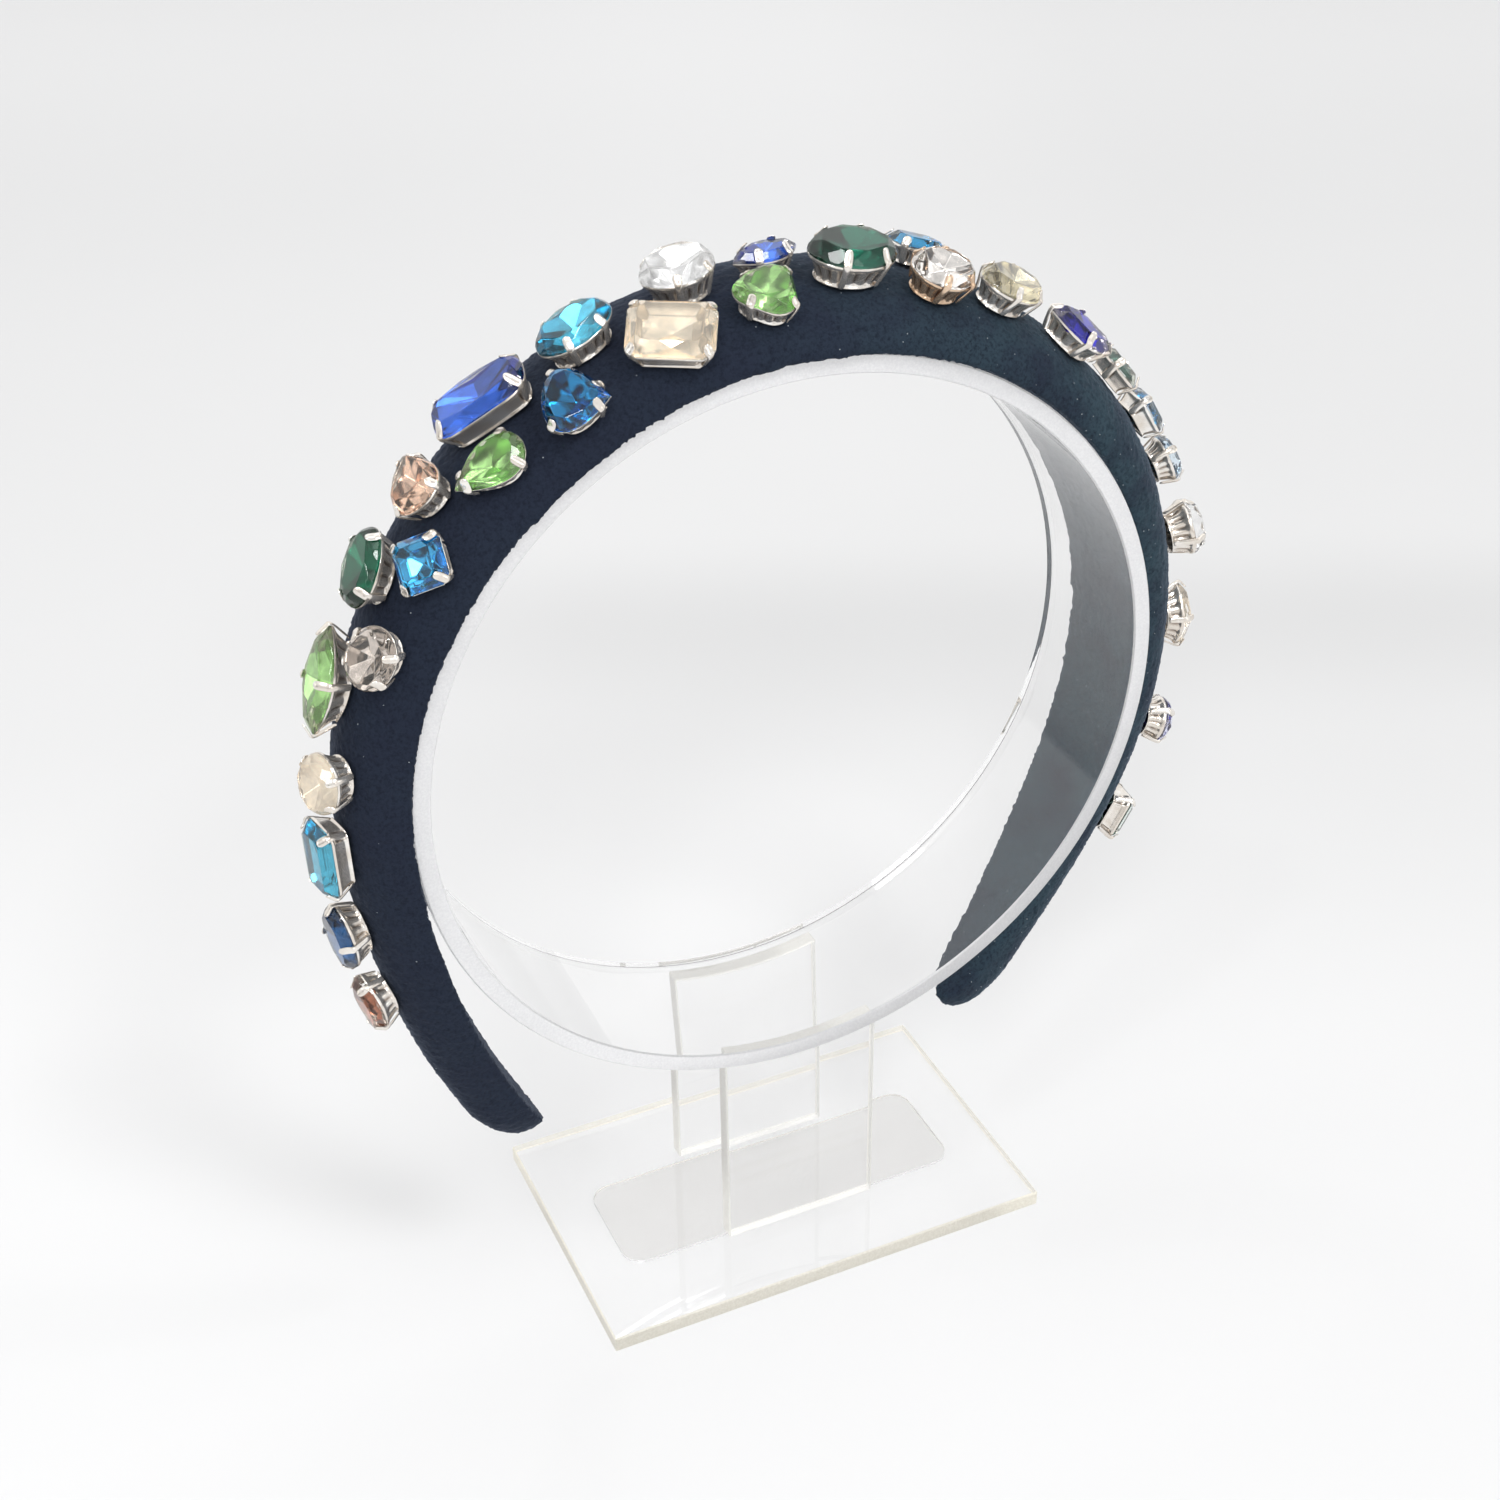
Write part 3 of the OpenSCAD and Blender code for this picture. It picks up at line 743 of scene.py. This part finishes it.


# Gem finishes: foil behind, glass in front, and how dull the foil is. Some pale foils glow a little with painted
# light
gemLooks = {
    "rose": {"slot": "gem_rose", "foil": (184, 124, 98), "glass": (255, 246, 240), "dull": 0.16},
    "deepBlue": {"slot": "gem_deep_blue", "foil": (26, 142, 196), "glass": (232, 244, 255), "dull": 0.10},
    "montana": {"slot": "gem_deep_blue", "foil": (44, 92, 140), "glass": (234, 244, 252), "dull": 0.16},
    "aqua": {"slot": "gem_aqua", "foil": (84, 188, 216), "glass": (240, 252, 255), "dull": 0.14},
    "champagne": {"slot": "gem_champagne", "foil": (252, 236, 212), "glass": (255, 252, 246), "dull": 0.22,
                  "glow": 0.14},
    "paleChampagne": {"slot": "gem_champagne", "foil": (255, 238, 212), "glass": (255, 253, 248), "dull": 0.34,
                      "glow": 0.14},
    "greige": {"slot": "gem_champagne", "foil": (224, 214, 184), "glass": (254, 254, 250), "dull": 0.16},
    "lightGreen": {"slot": "gem_light_green", "foil": (186, 232, 156), "glass": (248, 255, 243), "dull": 0.20},
    "crystal": {"slot": "gem_clear_crystal", "foil": (252, 247, 242), "glass": (254, 254, 254), "dull": 0.05},
    "smokyCrystal": {"slot": "gem_clear_crystal", "foil": (228, 220, 213), "glass": (250, 247, 243), "dull": 0.05},
    "whiteCrystal": {"slot": "gem_clear_crystal", "foil": (255, 255, 255), "glass": (255, 255, 255), "dull": 0.20,
                     "glow": 0.14},
    "emerald": {"slot": "gem_emerald", "foil": (18, 106, 78), "glass": (232, 250, 243), "dull": 0.16},
    "greyEmerald": {"slot": "gem_emerald", "foil": (30, 102, 82), "glass": (238, 249, 245), "dull": 0.20},
    "brightBlue": {"slot": "gem_bright_blue", "foil": (72, 178, 228), "glass": (236, 248, 255), "dull": 0.08},
    "peach": {"slot": "gem_peach", "foil": (250, 214, 190), "glass": (255, 249, 244), "dull": 0.12},
    "sapphire": {"slot": "gem_sapphire", "foil": (60, 110, 212), "glass": (238, 243, 255), "dull": 0.16},
    "violetBlue": {"slot": "gem_sapphire", "foil": (56, 52, 170), "glass": (236, 238, 255), "dull": 0.14},
    "darkGreen": {"slot": "gem_dark_green", "foil": (86, 116, 106), "glass": (238, 247, 243), "dull": 0.2}}
# what all of them share, with the tones of the speckle's patches
gemFinish = {"density": 1.56, "polish": 0.01, "paler": 1.04, "darker": 0.72}


def toned(paint, share):
    return tuple(min(1.0, c * share) for c in paint[:3]) + (1.0,)


def makeGem(name, look):
    glass, nodes, links = newMaterial(name + "_glass")
    speckle = addSpeckle(nodes, broad=300.0, fine=4000.0, cover=0.5)
    paint = colour(*look["glass"])
    setPaint(nodes, links, speckle.outputs["Broad mask"], paint, toned(paint, gemFinish["paler"]))
    setShader(nodes, Roughness=gemFinish["polish"], Transmission_Weight=1.0, IOR=gemFinish["density"])
    addBump(nodes, links, speckle.outputs["Height"], strength=0.03, distance=0.02 * mm)
    foil, nodes, links = newMaterial(name + "_foil")
    speckle = addSpeckle(nodes, broad=420.0, fine=5000.0, cover=0.6)
    paint = colour(*look["foil"])
    setPaint(nodes, links, speckle.outputs["Broad mask"], paint, toned(paint, gemFinish["darker"]))
    # the glow of pale foils is painted light
    setShader(nodes, Metallic=1.0, Roughness=look["dull"], Emission_Color=grey(1.0),
              Emission_Strength=look.get("glow", 0.0))
    addBump(nodes, links, speckle.outputs["Height"], strength=0.05, distance=0.03 * mm)
    return glass, foil


gemMaterials = {name: makeGem(name, look) for name, look in gemLooks.items()}

# The stones in the frame's order: cut, finish, how far their claws reach over them in millimetres,
# and whether the claws stand at the ends and sides (cross), at the corners, or nearer to the ends (wide)
stones = [
    ("navette", "rose", 0.7, "corners"), ("oval", "montana", 0.9, "cross"),
    ("octagon", "aqua", 0.9, "corners"), ("oval", "paleChampagne", 0.5, "wide"),
    ("navette", "lightGreen", 1.5, "cross"), ("oval", "smokyCrystal", 0.9, "wide"),
    ("oval", "emerald", 0.9, "corners"), ("octagon", "brightBlue", 1.0, "corners"),
    ("pear", "peach", 0.7, "corners"), ("pear", "lightGreen", 1.0, "corners"),
    ("oblong", "sapphire", 1.5, "corners"), ("pear", "deepBlue", 0.7, "corners"),
    ("oval", "aqua", 0.7, "wide"), ("octagon", "champagne", 0.7, "corners"),
    ("oval", "whiteCrystal", 0.5, "wide"), ("navette", "sapphire", 0.9, "wide"),
    ("trillion", "lightGreen", 0.6, "corners"), ("oval", "greyEmerald", 1.0, "wide"),
    ("octagon", "brightBlue", 0.6, "corners"), ("oval", "crystal", 0.7, "wide"),
    ("oval", "greige", 0.7, "wide"), ("navette", "violetBlue", 0.9, "cross"),
    ("octagon", "darkGreen", 0.7, "corners"), ("octagon", "deepBlue", 0.7, "corners"),
    ("oval", "deepBlue", 0.7, "corners"), ("oval", "crystal", 0.6, "corners"),
    ("navette", "paleChampagne", 0.8, "cross"), ("oval", "violetBlue", 0.7, "corners"),
    ("octagon", "darkGreen", 0.7, "corners")]
# Edges sharper than sharp, in degrees, are rounded, and heights within slack of each other are the same
facetEdge = {"round": 0.11 * mm, "sharp": 8, "slack": 0.02 * mm}


def shapeStone(stone, here):
    depth = here["rim"] - seat["girdle"] - seat["keel"]
    for vertex in stone.data.vertices:
        x, y, z = vertex.co
        x, y = fitOutline(x, y, here["halfLength"], here["halfWidth"], here["cut"])
        if z > 0:
            z = here["rim"] + z * here["crown"]
        elif z > -cutShape["girdle"]:
            z = here["rim"] + z / cutShape["girdle"] * seat["girdle"]
        else:
            z = here["rim"] - seat["girdle"] + (z + cutShape["girdle"]) * depth
        vertex.co = (x, y, z)
    stone.data.update()


def roundCrown(stone, here):
    # the crown's facet edges are rounded a little, so they catch the light
    onlySelect(stone)
    bpy.ops.object.mode_set(mode="EDIT")
    bpy.ops.mesh.select_mode(type="EDGE")
    bpy.ops.mesh.select_all(action="DESELECT")
    bpy.ops.mesh.edges_select_sharp(sharpness=math.radians(facetEdge["sharp"]))
    bpy.ops.object.mode_set(mode="OBJECT")
    for edge in stone.data.edges:
        heights = [stone.data.vertices[i].co.z for i in edge.vertices]
        edge.select = edge.select and min(heights) > here["rim"] - facetEdge["slack"]
    bpy.ops.object.mode_set(mode="EDIT")
    bpy.ops.mesh.bevel(offset=facetEdge["round"], segments=2, clamp_overlap=False)
    bpy.ops.object.mode_set(mode="OBJECT")


seats = []
for index, (cut, lookName, clawReach, clawPlaces) in enumerate(stones, start=1):
    nodeName = f"stone_{index:02d}"
    here = stoneSeat(nodeName, cut)
    here.update(cut=cut, index=index, claw=clawReach * mm, places=clawPlaces)
    seats.append(here)
    stone = copyPiece(cutTemplates[cut], f"gem_{index:02d}_{cut}")
    shapeStone(stone, here)
    roundCrown(stone, here)
    for material in gemMaterials[lookName]:
        stone.data.materials.append(material)
    foilTop = here["rim"] - seat["girdle"] - facetEdge["slack"]
    for face in stone.data.polygons:
        face.material_index = 1 if face.center.z < foilTop else 0
    stone.data.transform(here["matrix"])
    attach(stone, "root")
    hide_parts(nodeName)
for stone in cutTemplates.values():
    bpy.data.objects.remove(stone)
print("stones set:", len(seats))


# Silvery stamped metal with painted shade, darker and browner, in its hollows, which the pieces carry as an
# attribute
metalLook = {"silver": {"bright": colour(246, 244, 241), "worn": colour(222, 214, 204),
                        "hollow": colour(138, 124, 112)},
             "brassy": {"bright": colour(232, 208, 184), "worn": colour(206, 176, 148),
                        "hollow": colour(118, 92, 74)},
             "metallic": 0.8, "rough": (0.10, 0.22)}


def makeMetal(name, look):
    metal, nodes, links = newMaterial(name)
    speckle = addSpeckle(nodes, broad=260.0, fine=3000.0, cover=0.8)
    plain = mixColours(nodes, links, speckle.outputs["Broad mask"], look["bright"], look["worn"])
    hollow = addNode(nodes, "ShaderNodeAttribute", attribute_name="hollow")
    # the hollows take a darker, browner colour: painted shade
    setPaint(nodes, links, hollow.outputs["Fac"], plain, look["hollow"])
    wear = addSpan(nodes, links, speckle.outputs["Fine mask"], spanOut=metalLook["rough"])
    links.new(wear, nodes["Principled BSDF"].inputs["Roughness"])
    setShader(nodes, Metallic=metalLook["metallic"])
    addBump(nodes, links, speckle.outputs["Height"], strength=0.06, distance=0.05 * mm)
    return metal


silver = makeMetal("stamped_silver", metalLook["silver"])
brassy = makeMetal("brassy_silver", metalLook["brassy"])

# A cup is a tapered collar on a foot, with ribs up its wall and a plain collar under the girdle.
# Each level is (height as a share of the cup, size as a share of the outline, how deep its hollows are).
# It stands off the velvet, ends a lip under the stone's rim, and is wider than the stone by spare
cupShape = {"floor": 0.75,
            "levels": [(0.07, 0.75, 0.0), (0.13, 0.70, 0.4), (0.36, 0.77, 1.0), (0.62, 0.845, 1.0),
                       (0.76, 0.905, 0.4), (0.84, 0.985, 0.0), (1.0, 0.995, 0.0)],
            "hollow": 0.13, "wall": 0.22 * mm, "stand": 0.25 * mm, "lip": 0.25 * mm, "spare": 0.10 * mm,
            "smoothUnder": 35, "brassy": (20,),
            "groups": {"settings_left": (1, 12), "settings_crown": (13, 21), "settings_right": (22, 29)}}


def fineOutline(cut):
    # the outline's points, and the ones halfway between them
    corners = [Vector(corner) for corner in outlineOf(cut)]
    points = []
    for corner, after in zip(corners, corners[1:] + corners[:1]):
        points += [corner, (corner + after) / 2]
    return points


def isHollow(place, cut):
    # every fourth point is a hollow, but a straight side is a plain panel
    return place % 4 == 2 and (cut not in longCuts or 5 < place % 16 < 11)


def cupTemplate(cut):
    points = fineOutline(cut)
    bpy.ops.mesh.primitive_circle_add(vertices=len(points), radius=1, fill_type="NOTHING", location=(0, 0, 0))
    cup = bpy.context.object
    cup.name = "cup_" + cut
    for vertex, (x, y) in zip(cup.data.vertices, points):
        vertex.co = (x * cupShape["floor"], y * cupShape["floor"], 0)
    bpy.ops.object.mode_set(mode="EDIT")
    bpy.ops.mesh.select_mode(type="EDGE")
    bpy.ops.mesh.select_all(action="SELECT")
    height, size = 0.0, cupShape["floor"]
    for newHeight, newSize, depth in cupShape["levels"]:
        bpy.ops.mesh.extrude_edges_move(TRANSFORM_OT_translate={"value": (0, 0, newHeight - height)})
        bpy.ops.transform.resize(value=(newSize / size, newSize / size, 1), center_override=(0, 0, newHeight))
        height, size = newHeight, newSize
    bpy.ops.mesh.select_all(action="SELECT")
    bpy.ops.mesh.normals_make_consistent(inside=False)
    bpy.ops.mesh.select_mode(type="VERT")
    bpy.ops.mesh.select_all(action="DESELECT")
    bpy.ops.object.mode_set(mode="OBJECT")
    # how deep each vertex lies in a hollow, which sets how strong its painted shade is
    hollowShade = [0.0] * len(cup.data.vertices)
    for newHeight, newSize, depth in cupShape["levels"]:
        if not depth:
            continue
        level = [vertex for vertex in cup.data.vertices if abs(vertex.co.z - newHeight) < 0.01]
        for vertex in level:
            here = Vector(vertex.co[:2]) / newSize
            nearest = min(range(len(points)), key=lambda i: (points[i] - here).length_squared)
            vertex.select = isHollow(nearest, cut)
            if vertex.select:
                hollowShade[vertex.index] = depth
        inward = 1 - depth * cupShape["hollow"]
        bpy.ops.object.mode_set(mode="EDIT")
        bpy.ops.transform.resize(value=(inward, inward, 1), center_override=(0, 0, newHeight))
        bpy.ops.mesh.select_all(action="DESELECT")
        bpy.ops.object.mode_set(mode="OBJECT")
    hollow = cup.data.attributes.new("hollow", "FLOAT", "POINT")
    hollow.data.foreach_set("value", hollowShade)
    return cup


# A claw is a ridged strip, its rows from foot to tip (outward, height, share of the width). Heights under 0 are
# shares of the rim's height, outward places under 0 are shares of the claw's reach over the stone, and the others
# are in millimetres. Further down than leanFrom, the strip leans in. Its tip climbs the crown, which rises over
# the crownRun share of the way in. Places are counted on the fine outline
clawLook = {"rows": [(0.25, -1.0, 0.95), (0.25, -0.5, 0.8), (0.27, -0.12, 0.85), (0.30, 0.10, 1.0),
                     (0.20, 0.28, 1.0), (0.0, 0.34, 1.05), (-0.5, 0.32, 1.1), (-0.85, 0.28, 0.95),
                     (-1.0, 0.20, 0.55)],
            "width": 1.25 * mm, "thick": 0.30 * mm, "ridge": 0.22, "lean": 0.29, "leanFrom": 0.1,
            "crownRun": 0.22,
            "places": {"corners": (8, 24, 40, 56), "cross": (0, 16, 32, 48), "wide": (11, 21, 43, 53)}}


def clawTemplate():
    rows = clawLook["rows"]
    bpy.ops.mesh.primitive_grid_add(x_subdivisions=2, y_subdivisions=len(rows) - 1, size=1, location=(0, 0, 0))
    claw = bpy.context.object
    claw.name = "claw_template"
    for vertex in claw.data.vertices:
        outward, height, width = rows[round((vertex.co.y + 0.5) * (len(rows) - 1))]
        ridge = clawLook["ridge"] if abs(vertex.co.x) < 0.1 else 0.0
        if outward > 0.1:
            outward += ridge
        else:
            height += ridge
        vertex.co = (outward, vertex.co.x * width, height)
    claw.data.attributes.new("hollow", "FLOAT", "POINT")
    return claw


cupTemplates = {cut: cupTemplate(cut) for cut in cutNames}
clawMaster = clawTemplate()


def makeClaw(here, points, place, finish):
    before, foot, after = (
        Vector(fitOutline(*points[(place + step) % len(points)], here["halfLength"], here["halfWidth"],
                          here["cut"])) for step in (-1, 0, 1))
    outward = Vector((after.y - before.y, before.x - after.x, 0)).normalized()
    sideways = Vector((-outward.y, outward.x, 0))
    reach = foot.to_3d().dot(outward)
    slope = here["crown"] / (clawLook["crownRun"] * reach)
    claw = copyPiece(clawMaster, "claw")
    claw.data.materials.append(finish)
    for vertex in claw.data.vertices:
        out, wide, tall = vertex.co
        if tall < 0:
            sink = clawLook["lean"] * reach * max(0.0, -tall - clawLook["leanFrom"])
            tall *= here["rim"] - cupShape["stand"]
        else:
            sink = 0.0
            tall *= mm
        if out < 0:
            tall += min(-out * here["claw"] * slope, here["crown"])
            out *= here["claw"]
        else:
            out *= mm
        spot = foot.to_3d() + Vector((0, 0, here["rim"] + tall)) + outward * (out - sink)
        vertex.co = here["matrix"] @ (spot + sideways * wide * clawLook["width"])
    thick = claw.modifiers.new("thick", "SOLIDIFY")
    thick.thickness = clawLook["thick"]
    thick.offset = 0
    soft = claw.modifiers.new("soft", "SUBSURF")
    soft.levels = 1
    applyModifiers(claw)
    return claw


def makeCup(here):
    finish = brassy if here["index"] in cupShape["brassy"] else silver
    cup = copyPiece(cupTemplates[here["cut"]], "cup")
    cup.data.materials.append(finish)
    halfLength, halfWidth = here["halfLength"] + cupShape["spare"], here["halfWidth"] + cupShape["spare"]
    tall = here["rim"] - cupShape["lip"] - cupShape["stand"]
    for vertex in cup.data.vertices:
        x, y = fitOutline(*vertex.co[:2], halfLength, halfWidth, here["cut"])
        vertex.co = here["matrix"] @ Vector((x, y, cupShape["stand"] + vertex.co.z * tall))
    wall = cup.modifiers.new("wall", "SOLIDIFY")
    wall.thickness = cupShape["wall"]
    wall.offset = -1
    soft = cup.modifiers.new("soft", "SUBSURF")
    soft.levels = 1
    applyModifiers(cup)
    points = fineOutline(here["cut"])
    return [cup] + [makeClaw(here, points, place, finish) for place in clawLook["places"][here["places"]]]


for name, (first, last) in cupShape["groups"].items():
    parts = [part for here in seats if first <= here["index"] <= last for part in makeCup(here)]
    piece = joinPieces(parts, "cups_" + name.split("_")[1])
    onlySelect(piece)
    bpy.ops.object.mode_set(mode="EDIT")
    turnOutward()
    bpy.ops.object.shade_smooth_by_angle(angle=math.radians(cupShape["smoothUnder"]))
    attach(piece, "root")
    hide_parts(name)
for template in list(cupTemplates.values()) + [clawMaster]:
    bpy.data.objects.remove(template)
print("cups made")
